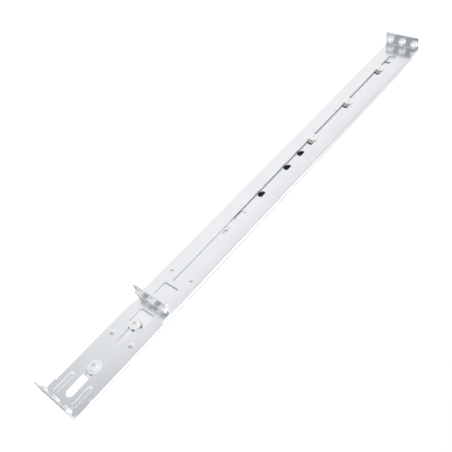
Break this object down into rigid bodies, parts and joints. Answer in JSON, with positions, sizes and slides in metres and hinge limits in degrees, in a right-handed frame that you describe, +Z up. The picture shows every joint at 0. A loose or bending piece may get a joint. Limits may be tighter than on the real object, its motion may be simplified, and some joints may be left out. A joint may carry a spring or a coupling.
{
  "type": "sliding server rail",
  "caption": "Rack rail with ears for the posts, a depth-adjusting rear bracket and a telescopic ball-bearing slide that carries equipment out of the rack.",
  "frame": {"origin": "middle hole of the front ear, on the ear's mounting face", "axes": "+X to the front of the rack, -Y outboard to the rack's side, +Z up"},
  "size_m": [0.5707, 0.0312, 0.0457],
  "materials": {
    "zinc_sheet": "bright zinc-plated sheet, fine lengthwise rolling grain",
    "zinc_fastener": "bright zinc plating",
    "slide_steel": "zinc-plated roll-formed steel",
    "cage_plastic": "black moulded strip",
    "ball_steel": "polished",
    "latch_steel": "stamped, zinc plated",
    "spring_steel": "bare spring strip",
    "bumper_rubber": "matt"
  },
  "bodies": {
    "front_bracket": {"front_bracket": "zinc_sheet", "front_ear_nuts": "zinc_fastener"},
    "slide_outer": {"slide_outer_member": "slide_steel", "front_clamp_screw": "zinc_fastener", "front_clamp_washer": "zinc_fastener", "front_guide_screw": "zinc_fastener", "clamp_studs": "zinc_fastener", "clamp_nuts": "zinc_fastener", "spacer_washers": "zinc_fastener"},
    "rear_bracket": {"rear_bracket": "zinc_sheet", "mid_ear_nuts": "zinc_fastener", "rear_ear_nuts": "zinc_fastener"},
    "slide_middle": {"slide_middle_member": "slide_steel", "inner_stop_bumper": "bumper_rubber"},
    "slide_inner": {"slide_inner_member": "slide_steel", "latch_rivet": "zinc_fastener", "latch_spring": "spring_steel"},
    "outer_cage": {"outer_ball_cage": "cage_plastic", "outer_cage_balls": "ball_steel"},
    "inner_cage": {"inner_ball_cage": "cage_plastic", "inner_cage_balls": "ball_steel"},
    "latch": {"release_latch": "latch_steel"}
  },
  "joints": [
    {"name": "slide_position", "type": "slide", "parent": "front_bracket", "child": "slide_outer", "axis": [1, 0, 0], "range_m": [0, 0.012]},
    {"name": "rail_depth", "type": "slide", "parent": "slide_outer", "child": "rear_bracket", "axis": [1, 0, 0], "range_m": [-0.22, 0.005]},
    {"name": "inner_travel", "type": "slide", "parent": "slide_outer", "child": "slide_inner", "axis": [1, 0, 0], "range_m": [0, 0.48]},
    {"name": "middle_travel", "type": "slide", "parent": "slide_outer", "child": "slide_middle", "axis": [1, 0, 0], "range_m": [0, 0.24]},
    {"name": "outer_cage_travel", "type": "slide", "parent": "slide_outer", "child": "outer_cage", "axis": [1, 0, 0], "range_m": [0, 0.12]},
    {"name": "inner_cage_travel", "type": "slide", "parent": "slide_outer", "child": "inner_cage", "axis": [1, 0, 0], "range_m": [0, 0.36]},
    {"name": "latch_pivot", "type": "hinge", "parent": "slide_inner", "child": "latch", "pos_m": [-0.13, 0.0201, 0], "axis": [0, 1, 0], "range_deg": [0, 5], "stiffness_Nm_per_rad": 0.05, "springref_deg": -11.46, "deforming": ["latch_spring"]}
  ],
  "couplings": [
    {"joint": "middle_travel", "follows": "inner_travel", "ratio": 0.5},
    {"joint": "outer_cage_travel", "follows": "inner_travel", "ratio": 0.25},
    {"joint": "inner_cage_travel", "follows": "inner_travel", "ratio": 0.75}
  ]
}
